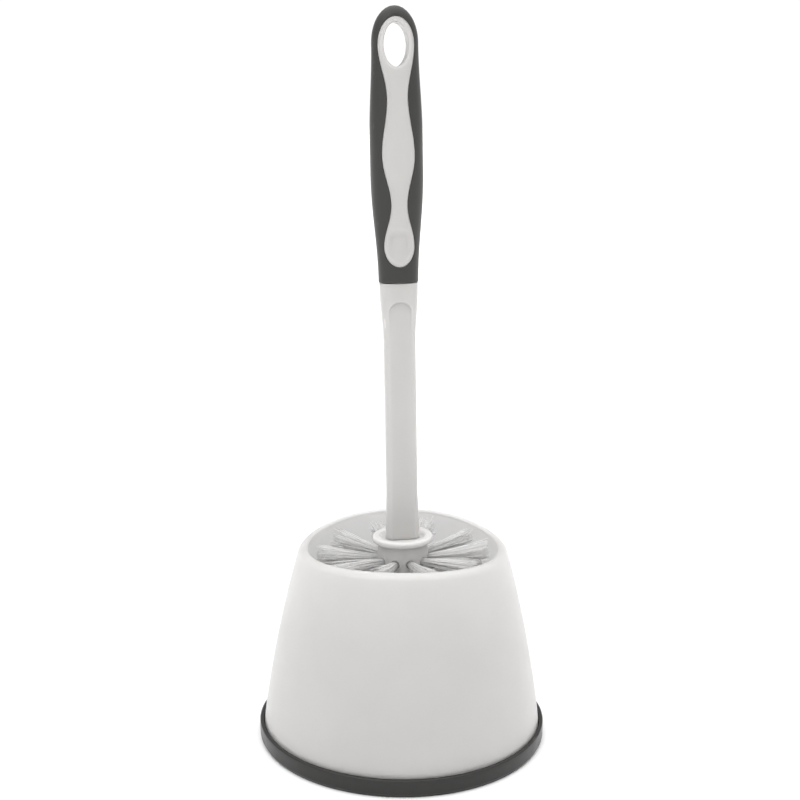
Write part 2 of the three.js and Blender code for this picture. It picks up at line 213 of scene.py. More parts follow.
def brush_matrix(turn):
    """From the brush's own millimetres, turned about its axis, to the shared frame's metres."""
    axis = next(j for j in frame["joints"] if j["name"] == "brush_lift")["axis"]
    up = Vector(axis).normalized()
    low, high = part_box("bristle_crown")
    slip = up.x / up.z * (high.z - low.z) / 2
    tip = Vector(((low.x + high.x) / 2 - slip, 0.0, low.z))
    tilt = Vector((0, 0, 1)).rotation_difference(up).to_matrix().to_4x4()
    spin = Matrix.Rotation(math.radians(turn), 4, "Z")
    return Matrix.Translation(tip) @ tilt @ spin @ Matrix.Scale(MM, 4)


HEAD = brush_matrix(0.0)
HANDLE = brush_matrix(HANDLE_TURN)
HOLDER = Matrix.Scale(MM, 4)


# ------------------------------------------------------------------ mesh helpers

def grid_quads(rows, columns, wrap_rows=False, wrap_columns=False):
    """Quads of a grid whose vertices run column by column within each row."""
    r = np.arange(rows if wrap_rows else rows - 1)
    c = np.arange(columns if wrap_columns else columns - 1)
    r, c = np.meshgrid(r, c, indexing="ij")
    r2, c2 = (r + 1) % rows, (c + 1) % columns
    quads = np.stack([r * columns + c, r * columns + c2, r2 * columns + c2, r2 * columns + c], -1)
    return quads.reshape(-1, 4)


def add_piece(name, verts, faces, matrix, body, node, material, weld=0.0, flat=None):
    """A smooth-shaded mesh from millimetre points, riding on a body in place of a CAD node."""
    mesh = bpy.data.meshes.new(name)
    verts = np.asarray(verts, float)
    m = np.array(matrix)
    placed = verts @ m[:3, :3].T + m[:3, 3]
    faces = [list(map(int, f)) for f in faces]
    mesh.from_pydata(placed.tolist(), [], faces)
    if weld:
        work = bmesh.new()
        work.from_mesh(mesh)
        bmesh.ops.remove_doubles(work, verts=work.verts, dist=weld * MM)
        bmesh.ops.dissolve_degenerate(work, edges=work.edges, dist=weld * MM)
        loose = [v for v in work.verts if not v.link_faces]
        bmesh.ops.delete(work, geom=loose, context="VERTS")
        bmesh.ops.recalc_face_normals(work, faces=work.faces)
        work.to_mesh(mesh)
        work.free()
    mesh.validate()
    mesh.shade_smooth()
    piece = bpy.data.objects.new(name, mesh)
    bpy.context.scene.collection.objects.link(piece)
    mesh.materials.append(material)
    if flat is not None:
        mesh.set_sharp_from_angle(angle=math.radians(flat))
    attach(piece, body)
    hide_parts(*node)
    return piece


def rounded_profile(points, steps=5):
    """A closed outline of [radius, height, corner round] with each corner turned into an arc."""
    out = []
    count = len(points)
    for i, (r, z, fillet) in enumerate(points):
        here = np.array([r, z])
        if fillet <= 0:
            out.append(here)
            continue
        before = np.array(points[i - 1][:2]) - here
        after = np.array(points[(i + 1) % count][:2]) - here
        a = before / np.linalg.norm(before)
        b = after / np.linalg.norm(after)
        half = math.acos(np.clip(a @ b, -1, 1)) / 2
        run = min(fillet / math.tan(half), 0.49 * np.linalg.norm(before), 0.49 * np.linalg.norm(after))
        radius = run * math.tan(half)
        centre = here + (a + b) / np.linalg.norm(a + b) * radius / math.sin(half)
        start, end = here + a * run - centre, here + b * run - centre
        a0 = math.atan2(start[1], start[0])
        a1 = math.atan2(end[1], end[0])
        sweep = (a1 - a0 + math.pi) % (2 * math.pi) - math.pi
        for k in range(steps + 1):
            t = a0 + sweep * k / steps
            out.append(centre + radius * np.array([math.cos(t), math.sin(t)]))
    return np.array(out)


def densify(profile, longest, closed=True):
    """Splits long edges of an outline, so that the surface is even."""
    out = []
    ends = len(profile) if closed else len(profile) - 1
    for i in range(ends):
        a, b = profile[i], profile[(i + 1) % len(profile)]
        n = max(1, int(math.ceil(np.linalg.norm(b - a) / longest)))
        out.extend(a + (b - a) * k / n for k in range(n))
    if not closed:
        out.append(profile[-1])
    return np.array(out)


def lathe(profile, segments, closed=True):
    """Vertices and faces of a profile turned about Z. Points on the axis are welded later."""
    angle = np.linspace(0, 2 * math.pi, segments, endpoint=False)
    r, z = profile[:, 0][:, None], profile[:, 1][:, None]
    verts = np.stack([r * np.cos(angle), r * np.sin(angle), z + 0 * angle], -1).reshape(-1, 3)
    return verts, grid_quads(len(profile), segments, wrap_rows=closed, wrap_columns=True)


def smoothstep(low, high, value):
    """0 at low and 1 at high, with a soft start and end."""
    t = np.clip((value - low) / (high - low), 0, 1)
    return t * t * (3 - 2 * t)


def eased(stations, place):
    """Cosine-eased value through (place, value) stations, for an array of places."""
    place = np.asarray(place, float)
    out = np.full(place.shape, float(stations[0][1]))
    for (a, low), (b, high) in zip(stations, stations[1:]):
        t = np.clip((place - a) / (b - a), 0, 1)
        step = low + (high - low) * (1 - np.cos(math.pi * t)) / 2
        out = np.where(place >= a, step, out)
    return out


# ------------------------------------------------------------------ materials

def shader(name, colour, roughness, **sockets):
    """A Principled material; returns the material, its tree and its shader."""
    material = bpy.data.materials.new(name)
    material.use_nodes = True
    tree = material.node_tree
    bsdf = tree.nodes["Principled BSDF"]
    bsdf.inputs["Base Color"].default_value = (*colour, 1)
    bsdf.inputs["Roughness"].default_value = roughness
    for key, value in sockets.items():
        bsdf.inputs[key.replace("_", " ")].default_value = value
    return material, tree, bsdf


def noise(tree, coords, scale, detail=4.0, rough=0.5):
    """A noise value from 0 to 1."""
    node = tree.nodes.new("ShaderNodeTexNoise")
    node.inputs["Scale"].default_value = scale
    node.inputs["Detail"].default_value = detail
    node.inputs["Roughness"].default_value = rough
    tree.links.new(coords, node.inputs["Vector"])
    return node.outputs["Fac"]


def remap(tree, value, low, high, to_low, to_high):
    """A value moved from one range to another, and held inside it."""
    node = tree.nodes.new("ShaderNodeMapRange")
    for key, number in zip(("From Min", "From Max", "To Min", "To Max"), (low, high, to_low, to_high)):
        node.inputs[key].default_value = number
    tree.links.new(value, node.inputs["Value"])
    return node.outputs["Result"]


def blend_colours(tree, factor, a, b):
    """Colour a where the factor is 0, b where it is 1. Each is a socket or three numbers."""
    node = tree.nodes.new("ShaderNodeMix")
    node.data_type = "RGBA"
    for socket, colour in ((node.inputs[6], a), (node.inputs[7], b)):
        if hasattr(colour, "links"):
            tree.links.new(colour, socket)
        else:
            socket.default_value = (*colour, 1)
    tree.links.new(factor, node.inputs[0])
    return node.outputs[2]


def bump(tree, bsdf, layers):
    """Stacks bump layers of (height, strength, distance in metres)."""
    before = None
    for height, strength, distance in layers:
        node = tree.nodes.new("ShaderNodeBump")
        node.inputs["Strength"].default_value = strength
        node.inputs["Distance"].default_value = distance
        tree.links.new(height, node.inputs["Height"])
        if before is not None:
            tree.links.new(before, node.inputs["Normal"])
        before = node.outputs["Normal"]
    tree.links.new(before, bsdf.inputs["Normal"])


def object_coords(tree):
    return tree.nodes.new("ShaderNodeTexCoord").outputs["Object"]


def stretched(tree, coords, scale):
    """Coordinates scaled on each axis, so that a noise runs along the smaller one."""
    node = tree.nodes.new("ShaderNodeMapping")
    node.inputs["Scale"].default_value = scale
    tree.links.new(coords, node.inputs["Vector"])
    return node.outputs["Vector"]


def painted_edge_highlight(tree, low, high):
    """1 on convex edges, where a painted highlight goes, 0 elsewhere."""
    geometry = tree.nodes.new("ShaderNodeNewGeometry")
    return remap(tree, geometry.outputs["Pointiness"], low, high, 0.0, 1.0)


def moulded_plastic(name, colour, roughness, grain, edge_highlight_colour, **sockets):
    """Injection-moulded plastic: uneven gloss, faint flow and grain, and paler convex edges that are a
    painted highlight.
    """
    material, tree, bsdf = shader(name, colour, roughness, **sockets)
    coords = object_coords(tree)
    cloudy = noise(tree, coords, 28.0, 3.0)
    smudge = noise(tree, coords, 140.0, 5.0, 0.6)
    fine = noise(tree, coords, 3200.0, 2.0)
    flow = noise(tree, stretched(tree, coords, (1.0, 1.0, 0.25)), 90.0, 2.0)
    darker = tuple(c * 0.965 for c in colour)
    tone = blend_colours(tree, remap(tree, cloudy, 0.35, 0.65, 0.0, 1.0), darker, colour)
    # painted highlight: convex edges take a paler colour
    tone = blend_colours(tree, painted_edge_highlight(tree, 0.53, 0.62), tone, edge_highlight_colour)
    tree.links.new(tone, bsdf.inputs["Base Color"])
    gloss = remap(tree, smudge, 0.3, 0.7, roughness - 0.04, roughness + 0.07)
    tree.links.new(gloss, bsdf.inputs["Roughness"])
    bump(tree, bsdf, [(flow, 0.25, 0.00012), (fine, grain, 0.00002)])
    return material


def soft_grip(name, colour):
    """Matt elastomer: fine even grain, a little dust in the low places and paler convex edges that are a
    painted highlight.
    """
    material, tree, bsdf = shader(name, colour, 0.5, Sheen_Weight=0.12, Sheen_Roughness=0.5)
    coords = object_coords(tree)
    dust = noise(tree, coords, 60.0, 6.0, 0.65)
    grain = noise(tree, coords, 5200.0, 2.0)
    pits = tree.nodes.new("ShaderNodeTexVoronoi")
    pits.inputs["Scale"].default_value = 2600.0
    tree.links.new(coords, pits.inputs["Vector"])
    paler = tuple(c * 1.35 for c in colour)
    tone = blend_colours(tree, remap(tree, dust, 0.45, 0.75, 0.0, 0.6), colour, paler)
    # painted highlight: convex edges take a colour 1.9 times paler
    tone = blend_colours(tree, painted_edge_highlight(tree, 0.53, 0.64), tone, tuple(c * 1.9 for c in colour))
    tree.links.new(tone, bsdf.inputs["Base Color"])
    tree.links.new(remap(tree, dust, 0.3, 0.7, 0.44, 0.58), bsdf.inputs["Roughness"])
    bump(tree, bsdf, [(grain, 0.35, 0.00002), (pits.outputs["Distance"], 0.3, 0.00002)])
    return material


def nylon(name, colour):
    """White translucent filament: light comes through it from behind, and its gloss is streaky."""
    material, tree, bsdf = shader(name, colour, 0.34, Sheen_Weight=0.1)
    coords = object_coords(tree)
    streak = noise(tree, coords, 900.0, 3.0)
    darker = tuple(c * 0.94 for c in colour)
    tone = blend_colours(tree, remap(tree, streak, 0.35, 0.65, 0.0, 1.0), darker, colour)
    tree.links.new(tone, bsdf.inputs["Base Color"])
    tree.links.new(remap(tree, streak, 0.3, 0.7, 0.28, 0.42), bsdf.inputs["Roughness"])
    through = tree.nodes.new("ShaderNodeBsdfTranslucent")
    tree.links.new(tone, through.inputs["Color"])
    both = tree.nodes.new("ShaderNodeMixShader")
    both.inputs[0].default_value = 0.6
    tree.links.new(bsdf.outputs[0], both.inputs[1])
    tree.links.new(through.outputs[0], both.inputs[2])
    tree.links.new(both.outputs[0], tree.nodes["Material Output"].inputs["Surface"])
    return material


def lit_through(weight, depth):
    """Sockets of a white plastic that light passes into, to a depth in metres."""
    return {"Subsurface_Weight": weight, "Subsurface_Scale": depth, "Subsurface_Radius": (0.98, 0.99, 1.0)}


# the fifth value of each plastic is the paler colour of its painted edge highlight
WHITE_SHELL = moulded_plastic(
    "white_shell", (0.59, 0.578, 0.567), 0.35, 0.12, (0.78, 0.77, 0.76), **lit_through(1.0, 0.016))
WHITE_CORE = moulded_plastic(
    "white_core", (0.505, 0.495, 0.485), 0.33, 0.12, (0.66, 0.65, 0.64), **lit_through(0.7, 0.006))
WHITE_HEAD = moulded_plastic(
    "white_head", (0.63, 0.62, 0.61), 0.36, 0.12, (0.72, 0.71, 0.70), **lit_through(0.7, 0.006))
DARK_PLASTIC = moulded_plastic(
    "dark_plastic", (0.013, 0.0125, 0.0115), 0.33, 0.3, (0.04, 0.039, 0.037), Specular_IOR_Level=0.4)
GRIP = soft_grip("dark_grip", (0.018, 0.018, 0.0155))
NYLON = nylon("bristle", (0.985, 0.982, 0.978))


# ------------------------------------------------------------------ base tray

def base_tray():
    """The dark tray: one profile turned about the axis."""
    groove = BASE_RADIUS - BASE_WALL
    spigot = SHELL_FOOT - SHELL_WALL - SLIDE_GAP
    spigot_in = spigot - SPIGOT_WALL
    well_out = WELL_RADIUS + WELL_WALL
    outline = [
        (0, 0, 0),
        (BASE_RADIUS - BASE_DRAW, 0, 0.3),
        (BASE_RADIUS, BASE_DRAW_HEIGHT, 1.0),
        (BASE_RADIUS, BASE_HEIGHT, 0.7),
        (groove, BASE_HEIGHT, 0.35),
        (groove, FLOOR, 0.3),
        (spigot, FLOOR, 0.3),
        (spigot, FLOOR + SPIGOT_HEIGHT, 0.5),
        (spigot_in, FLOOR + SPIGOT_HEIGHT, 0.5),
        (spigot_in, FLOOR, 0.8),
        (well_out, FLOOR, 0.8),
        (well_out, FLOOR + WELL_HEIGHT, 0.5),
        (WELL_RADIUS, FLOOR + WELL_HEIGHT, 0.5),
        (WELL_RADIUS, FLOOR, 0.8),
        (0, FLOOR, 0),
    ]
    profile = densify(rounded_profile(outline), BASE_GRID)
    verts, faces = lathe(profile, BASE_SEGMENTS)
    add_piece("base_tray_moulding", verts, faces, HOLDER, "base", ["base_tray"],
              DARK_PLASTIC, weld=0.004, flat=50)


# ------------------------------------------------------------------ holder shell

def shell_radius(height):
    """Outer radius of the wall: straight at first, then drawn in more and more."""
    share = np.maximum(0, (height - BASE_HEIGHT) / (RIM_HEIGHT - BASE_HEIGHT))
    taper = STRAIGHT_SHARE * share + (1 - STRAIGHT_SHARE) * share ** 2
    return SHELL_FOOT - (SHELL_FOOT - RIM_RADIUS) * taper


def holder_shell():
    """The wall with its wavy rim, as rings of points from the foot over the lip and down inside."""
    angle = np.linspace(0, 2 * math.pi, SHELL_SEGMENTS, endpoint=False)
    rim = RIM_HEIGHT + RIM_LEAN * np.sin(angle) - RIM_WAVE * np.cos(2 * angle)
    probe = rim - LIP_BEND
    lean = np.arctan(shell_radius(probe - 0.5) - shell_radius(probe + 0.5))
    start = rim - LIP_BEND + LIP_BEND * np.sin(lean)
    edge = shell_radius(start)
    centre_r = edge - LIP_BEND * np.cos(lean)
    centre_z = start - LIP_BEND * np.sin(lean)
    foot = FLOOR + FIT_GAP
    path = []

    def wall(height, inset):
        bottom = np.maximum(height, BASE_HEIGHT)
        tilt = np.arctan(shell_radius(bottom - 0.5) - shell_radius(bottom + 0.5))
        tilt = np.where(height < BASE_HEIGHT, 0, tilt)
        path.append((shell_radius(height) - inset * np.cos(tilt), height - inset * np.sin(tilt)))

    def lip(inset, turn):
        reach = LIP_BEND - inset
        path.append((centre_r + reach * np.cos(turn), centre_z + reach * np.sin(turn)))

    level = np.zeros_like(angle)
    heights = [foot + FOOT_ROUND, (foot + BASE_HEIGHT) / 2, BASE_HEIGHT - SLIDE_GAP]
    shares = [k / WALL_STEPS for k in range(WALL_STEPS + 1)]
    path.append((shell_radius(foot + level) - FOOT_ROUND, foot + level))
    for height in heights:
        wall(height + level, 0)
    for share in shares:
        wall(BASE_HEIGHT + (start - BASE_HEIGHT) * share, 0)
    for k in range(1, LIP_STEPS + 1):
        lip(0, lean + (math.pi / 2 - lean) * k / LIP_STEPS)
    half = SHELL_WALL / 2
    for k in range(1, LIP_STEPS):
        turn = math.pi / 2 + math.pi * k / LIP_STEPS
        path.append((centre_r + half * math.cos(turn), centre_z + LIP_BEND - half + half * math.sin(turn)))
    for k in range(LIP_INNER_STEPS + 1):
        lip(SHELL_WALL, math.pi / 2 + (lean - math.pi / 2) * k / LIP_INNER_STEPS)
    for share in reversed(shares[:-1]):
        wall(BASE_HEIGHT + (start - BASE_HEIGHT) * share, SHELL_WALL)
    for height in reversed(heights):
        wall(height + level, SHELL_WALL)
    path.append((shell_radius(foot + level) - SHELL_WALL + FOOT_ROUND, foot + level))
    r = np.array([p[0] for p in path])
    z = np.array([p[1] for p in path])
    verts = np.stack([r * np.cos(angle), r * np.sin(angle), z], -1).reshape(-1, 3)
    faces = grid_quads(len(path), len(angle), wrap_rows=True, wrap_columns=True)
    add_piece("holder_shell_moulding", verts, faces, HOLDER, "shell", ["holder_shell"],
              WHITE_SHELL)


# ------------------------------------------------------------------ brush head and bristles

def core_radius(height):
    """Radius of the slightly tapered core."""
    share = (height - CORE_END) / (FLANGE_UNDER - CORE_END)
    return CORE_END_RADIUS + (CORE_TOP_RADIUS - CORE_END_RADIUS) * share


def around(radius, angle, height):
    """A point, or a direction, in cylinder coordinates."""
    return np.array([radius * math.cos(angle), radius * math.sin(angle), height])


def row_roots(row):
    """Roots and directions of one row of tufts. Every second row is turned by half a tuft."""
    share = row / (ROWS - 1)
    height = TOP_ROW + (LOW_ROW - TOP_ROW) * share
    tilt = math.radians(TOP_TILT + (LOW_TILT - TOP_TILT) * share)
    out = []
    for tuft in range(TUFTS):
        angle = (tuft + (row % 2) / 2) / TUFTS * 2 * math.pi
        way = around(math.cos(tilt), angle, math.sin(tilt))
        out.append((around(core_radius(height), angle, height), way))
    return out


def crown_roots():
    """Roots and directions of the tufts on the end of the core: one in the middle, the rest round it."""
    tilt = math.radians(CROWN_TILT)
    out = [(np.array([0, 0, CORE_END]), np.array([0, 0, -1.0]))]
    for tuft in range(CROWN_TUFTS):
        angle = tuft / CROWN_TUFTS * 2 * math.pi
        way = around(math.sin(tilt), angle, -math.cos(tilt))
        out.append((around(CROWN_RADIUS, angle, CORE_END), way))
    return out


def frame_across(way):
    """Two unit vectors across a direction."""
    side = np.cross(way, [0, 0, 1.0])
    if np.linalg.norm(side) < 1e-6:
        side = np.array([1.0, 0, 0])
    side /= np.linalg.norm(side)
    return side, np.cross(way, side)


def filament_line(length, skew, spread, k, rng, t):
    """Offsets across its tuft, and the distance along it, of one filament that fans out and bends."""
    inner = TUFT_RADIUS - FILAMENT_INSET
    turn = k * GOLDEN_TURN + rng.normal(0, 0.15)
    start = np.array([math.cos(turn), math.sin(turn)]) * spread * inner
    fan = start / inner * TUFT_TIP_RADIUS * (0.75 + 0.6 * rng.random())
    bend = rng.normal(0, 0.6, 2) + skew
    own = length + rng.normal(0, 0.35) - abs(rng.normal(0, 1.1))
    crimp, phase = rng.normal(0, 0.14, 2), rng.random() * 2 * math.pi
    along = -TUFT_DEPTH + (own + TUFT_DEPTH) * t
    open_up = np.clip((along + 0.5) / own, 0, 1) ** 1.1
    wave = crimp[None, :] * (np.sin(along / CRIMP_LENGTH + phase) * open_up)[:, None]
    off = start + (fan - start) * open_up[:, None] + bend * open_up[:, None] ** 2.5 + wave
    return along, off


def tube_around(line, thick, other, ring):
    """Rings of points round a line, with its own radius at each point."""
    tangent = np.gradient(line, axis=0)
    tangent /= np.linalg.norm(tangent, axis=1)[:, None]
    a = np.cross(tangent, other)
    a /= np.linalg.norm(a, axis=1)[:, None]
    b = np.cross(tangent, a)
    across = np.cos(ring)[None, :, None] * a[:, None, :] + np.sin(ring)[None, :, None] * b[:, None, :]
    return line[:, None, :] + thick[:, None, None] * across


def filaments(roots, per_tuft, reach, rng, sides=5, segments=9):
    """Tubes for every filament of some tufts. reach(root, way) is the length from the core."""
    verts, faces, first = [], [], 0
    ring = np.linspace(0, 2 * math.pi, sides, endpoint=False)
    quads = grid_quads(segments + 1, sides, wrap_columns=True)
    t = np.linspace(0, 1, segments + 1)
    taper = np.where(t > 0.97, TIP_SHARE, 1.0)
    for root, way in roots:
        side, other = frame_across(way)
        length = reach(root, way)
        skew = rng.normal(0, 0.9, 2)
        for k in range(per_tuft):
            spread = math.sqrt((k + 0.5) / per_tuft)
            along, off = filament_line(length, skew, spread, k, rng, t)
            line = root + along[:, None] * way + off[:, :1] * side + off[:, 1:] * other
            thick = (FILAMENT_RADIUS + FILAMENT_SPREAD * rng.random()) * taper
            verts.append(tube_around(line, thick, other, ring).reshape(-1, 3))
            faces.extend((quads + first).tolist())
            last = first + segments * sides
            faces.append(list(range(first, first + sides))[::-1])
            faces.append(list(range(last, last + sides)))
            first += (segments + 1) * sides
    return np.concatenate(verts), faces


def row_reach(root, way):
    """Length of a side tuft, out to the brush's radius."""
    return (BRUSH_RADIUS - math.hypot(root[0], root[1])) / math.hypot(way[0], way[1])


def crown_reach(root, way):
    """Length of a crown tuft, down to the brush's tip or just above it."""
    if way[2] < -0.99:
        return CORE_END - CENTRE_SHORT
    return (CORE_END - CROWN_SHORT) / -way[2]


def bristles():
    """One piece of filaments for each row of tufts, and one for the crown."""
    for row in range(ROWS):
        rng = np.random.default_rng(ROW_SEED + row)
        count = SEEN_FILAMENTS if row < SEEN_ROWS else FILAMENTS
        verts, faces = filaments(row_roots(row), count, row_reach, rng)
        add_piece(f"bristle_tufts_{row + 1}", verts, faces, HEAD, "brush", [f"bristle_row_{row + 1}"],
                  NYLON)
    rng = np.random.default_rng(CROWN_SEED)
    verts, faces = filaments(crown_roots(), CROWN_FILAMENTS, crown_reach, rng)
    verts[:, 2] = np.maximum(verts[:, 2], 0.05)
    add_piece("bristle_crown_tufts", verts, faces, HEAD, "brush", ["bristle_crown"], NYLON)


def capped_pins(pins):
    """Faces of closed pins, each between two loops that have as many points."""
    faces, first = [], 0
    for pin in pins:
        n = len(pin[0])
        faces.extend((grid_quads(2, n, wrap_columns=True) + first).tolist())
        faces.append(list(range(first, first + n))[::-1])
        faces.append(list(range(first + n, first + 2 * n)))
        first += 2 * n
    return faces


def tuft_holes():
    """Round pins, a little wider than the tufts, for the blind holes of the core."""
    radius = TUFT_RADIUS + HOLE_MARGIN
    ring = np.linspace(0, 2 * math.pi, HOLE_SIDES, endpoint=False)
    pins = []
    for root, way in [place for row in range(ROWS) for place in row_roots(row)] + crown_roots():
        side, other = frame_across(way)
        circle = radius * (np.cos(ring)[:, None] * side + np.sin(ring)[:, None] * other)
        pins.append([root + along * way + circle for along in (-TUFT_DEPTH - 0.2, 2.0)])
    return pins


def shaft_socket(floor):
    """A pin for the socket that the shaft's plug sits in, turned with the handle."""
    loop = section_loop(PLUG_WIDTH + FIT_GAP, PLUG_DEPTH + FIT_GAP, PLUG_SQUARE, 64)
    turn = math.radians(HANDLE_TURN)
    loop = loop @ np.array([[math.cos(turn), math.sin(turn)], [-math.sin(turn), math.cos(turn)]])
    heights = (floor - PLUG_LENGTH - FIT_GAP, FLANGE_TOP + 2)
    return [np.column_stack([loop, np.full(len(loop), z)]) for z in heights]


def cut_away(piece, pins):
    """Cuts closed pins, given in the brush's millimetres, out of a piece."""
    m = np.array(HEAD)
    verts = np.concatenate([loop for pin in pins for loop in pin])
    mesh = bpy.data.meshes.new("cutter")
    mesh.from_pydata((verts @ m[:3, :3].T + m[:3, 3]).tolist(), [], capped_pins(pins))
    cutter = bpy.data.objects.new("cutter", mesh)
    bpy.context.scene.collection.objects.link(cutter)
    work = bmesh.new()
    work.from_mesh(mesh)
    bmesh.ops.recalc_face_normals(work, faces=work.faces)
    work.to_mesh(mesh)
    work.free()
    cut = piece.modifiers.new("holes", "BOOLEAN")
    cut.operation = "DIFFERENCE"
    cut.solver = "EXACT"
    cut.object = cutter
    depsgraph = bpy.context.evaluated_depsgraph_get()
    result = bpy.data.meshes.new_from_object(piece.evaluated_get(depsgraph))
    piece.modifiers.clear()
    piece.data = result
    bpy.data.objects.remove(cutter)


def brush_head():
    """The core with its flange, tuft holes and socket."""
    floor = FLANGE_TOP - DISH_DEPTH
    outline = [
        (0, CORE_END, 0),
        (CORE_END_RADIUS, CORE_END, 0.8),
        (CORE_TOP_RADIUS, FLANGE_UNDER, 0.5),
        (FLANGE_RADIUS, FLANGE_UNDER, 0.8),
        (FLANGE_RADIUS, FLANGE_TOP, 1.1),
        (DISH_RADIUS, FLANGE_TOP, 0.7),
        (DISH_RADIUS - DISH_DEPTH, floor, 0.6),
        (0, floor, 0),
    ]
    profile = densify(rounded_profile(outline), HEAD_GRID, closed=False)
    verts, faces = lathe(profile, HEAD_SEGMENTS, closed=False)
    head = add_piece("brush_head_moulding", verts, faces, HEAD, "brush", ["brush_head"],
                     WHITE_HEAD, weld=0.004)
    cut_away(head, tuft_holes() + [shaft_socket(floor)])
    head.data.shade_smooth()
    head.data.set_sharp_from_angle(angle=math.radians(38))


# ------------------------------------------------------------------ handle

def section_loop(half_width, half_depth, square, count):
    """Points of a superellipse, anticlockwise from +X."""
    t = np.linspace(0, 2 * math.pi, count, endpoint=False)
    c, s = np.cos(t), np.sin(t)
    p = 2 / square
    x = half_width * np.sign(c) * np.abs(c) ** p
    y = half_depth * np.sign(s) * np.abs(s) ** p
    return np.column_stack([x, y])


def shaft():
    """Plug, flared foot, shaft with an arched recess front and back, and the stub inside the grip."""
    foot = FLANGE_TOP - DISH_DEPTH + FIT_GAP
    top = GRIP_END - SHAFT_GAP
    spring = GRIP_END - PANEL_GAP - PANEL_HALF
    neck = top - NECK_FLARE
    wide = [(foot, FOOT_WIDTH), (foot + FOOT_FLARE, SHAFT_WIDTH), (neck, SHAFT_WIDTH), (top, NECK_WIDTH)]
    deep = [(foot, SHAFT_DEPTH), (neck, SHAFT_DEPTH), (top, NECK_DEPTH)]
    bottom = SHAFT_DEPTH - PANEL_DEPTH
    loops = []
    for z in np.append(np.arange(foot, top, SHAFT_ROW), top):
        loop = section_loop(float(eased(wide, z)), float(eased(deep, z)), SHAFT_SQUARE, SHAFT_COLUMNS)
        x, y = loop[:, 0], loop[:, 1]
        reach = np.hypot(x, max(0.0, z - spring)) - PANEL_HALF
        inside = smoothstep(PANEL_EDGE, -PANEL_EDGE, reach)
        y = np.where(np.abs(y) > bottom, y * (1 - inside) + np.sign(y) * bottom * inside, y)
        loops.append(np.column_stack([x, y, np.full(len(loop), z)]))
    plug = section_loop(PLUG_WIDTH, PLUG_DEPTH, PLUG_SQUARE, SHAFT_COLUMNS)
    lead = [np.column_stack([plug, np.full(len(plug), z)]) for z in (foot - PLUG_LENGTH, foot)]
    stub = section_loop(NECK_WIDTH - LINK_INSET, NECK_DEPTH - LINK_INSET, GRIP_SQUARE, SHAFT_COLUMNS)
    tail = [np.column_stack([stub, np.full(len(stub), z)]) for z in (top, top + LINK_LENGTH)]
    loops = lead + loops + tail
    faces = grid_quads(len(loops), SHAFT_COLUMNS, wrap_columns=True).tolist()
    last = (len(loops) - 1) * SHAFT_COLUMNS
    faces.append(list(range(SHAFT_COLUMNS))[::-1])
    faces.append(list(range(last, last + SHAFT_COLUMNS)))
    add_piece("handle_shaft", np.concatenate(loops), faces, HANDLE, "brush", ["handle_core"],
              WHITE_CORE, flat=45)


def inlay_half_width(z):
    """Half the width of the inlay at each height: round ends, two bulges and a waist."""
    end_top = INLAY_END + INLAY_ROUND
    span = HOLE_CENTRE - end_top
    low = INLAY_LOW_WIDTH * np.sqrt(np.clip(1 - ((end_top - z) / INLAY_ROUND) ** 2, 0, 1))
    high = COLLAR_HALF * np.sqrt(np.clip(1 - ((z - HOLE_CENTRE) / (COLLAR_TOP - HOLE_CENTRE)) ** 2, 0, 1))
    middle = eased([
        (end_top, INLAY_LOW_WIDTH),
        (end_top + span * 0.21, INLAY_WAIST),
        (end_top + span * 0.46, INLAY_BULGE),
        (end_top + span * 0.74, INLAY_NECK),
        (HOLE_CENTRE, COLLAR_HALF),
    ], z)
    width = np.where(z < end_top, low, np.where(z > HOLE_CENTRE, high, middle))
    return np.where((z <= INLAY_END) | (z >= COLLAR_TOP), 0.0, width)


def hole_half_width(z):
    """Half the width of the hanging hole, an upright ellipse."""
    return HOLE_HALF_WIDTH * np.sqrt(np.clip(1 - ((z - HOLE_CENTRE) / HOLE_HALF_HEIGHT) ** 2, 0, 1))


def grip_size(z, inset=0.0):
    """Half width and half depth of the grip, drawn in by an inset."""
    head = GRIP_TOP - GRIP_HEAD
    length = head - GRIP_END
    wide = eased([
        (GRIP_END, GRIP_LOW_WIDTH),
        (GRIP_END + length * 0.46, GRIP_WIDTH),
        (GRIP_END + length * 0.62, GRIP_WIDTH),
        (head, GRIP_HEAD_WIDTH),
    ], z)
    deep = eased([
        (GRIP_END, GRIP_LOW_DEPTH),
        (GRIP_END + length * 0.5, GRIP_DEPTH),
        (head, GRIP_HEAD_DEPTH),
    ], z)
    fall = np.sqrt(np.clip(1 - (np.maximum(z - head, 0) / (GRIP_HEAD - inset)) ** 2, 0, 1))
    return (wide - inset) * fall, (deep - inset) * fall ** 0.6


def clustered(a, b, step):
    """Heights from a to b, closer together near both ends."""
    n = max(6, int((b - a) / step))
    return a + (b - a) * (1 - np.cos(math.pi * np.arange(n) / n)) / 2


def handle_rows(low, high):
    """Heights of the handle's rows of points, closer together where its outlines end."""
    marks = [GRIP_END, INLAY_END, INLAY_END + INLAY_ROUND, HOLE_CENTRE - HOLE_HALF_HEIGHT,
             HOLE_CENTRE + HOLE_HALF_HEIGHT, COLLAR_TOP, GRIP_TOP]
    marks = [m for m in marks if low - 1e-6 <= m <= high + 1e-6]
    rows = [clustered(a, b, GRIP_ROW) for a, b in zip(marks, marks[1:])]
    return np.concatenate([*rows, [marks[-1]]])


def front_depth(x, half_width, half_depth):
    """Depth of the grip's section at x."""
    share = np.clip(np.abs(x) / np.maximum(half_width, 1e-6), 0, 1)
    return half_depth * np.clip(1 - share ** GRIP_SQUARE, 0, 1) ** (1 / GRIP_SQUARE)


def outline_points(width_of, low, high, gap=0.0):
    """Right side of the inlay's or the hole's outline in the X-Z plane, a gap outside it."""
    z = clustered(low, high, 0.12)
    z = np.append(z, high)
    return np.column_stack([width_of(z) + gap, z])


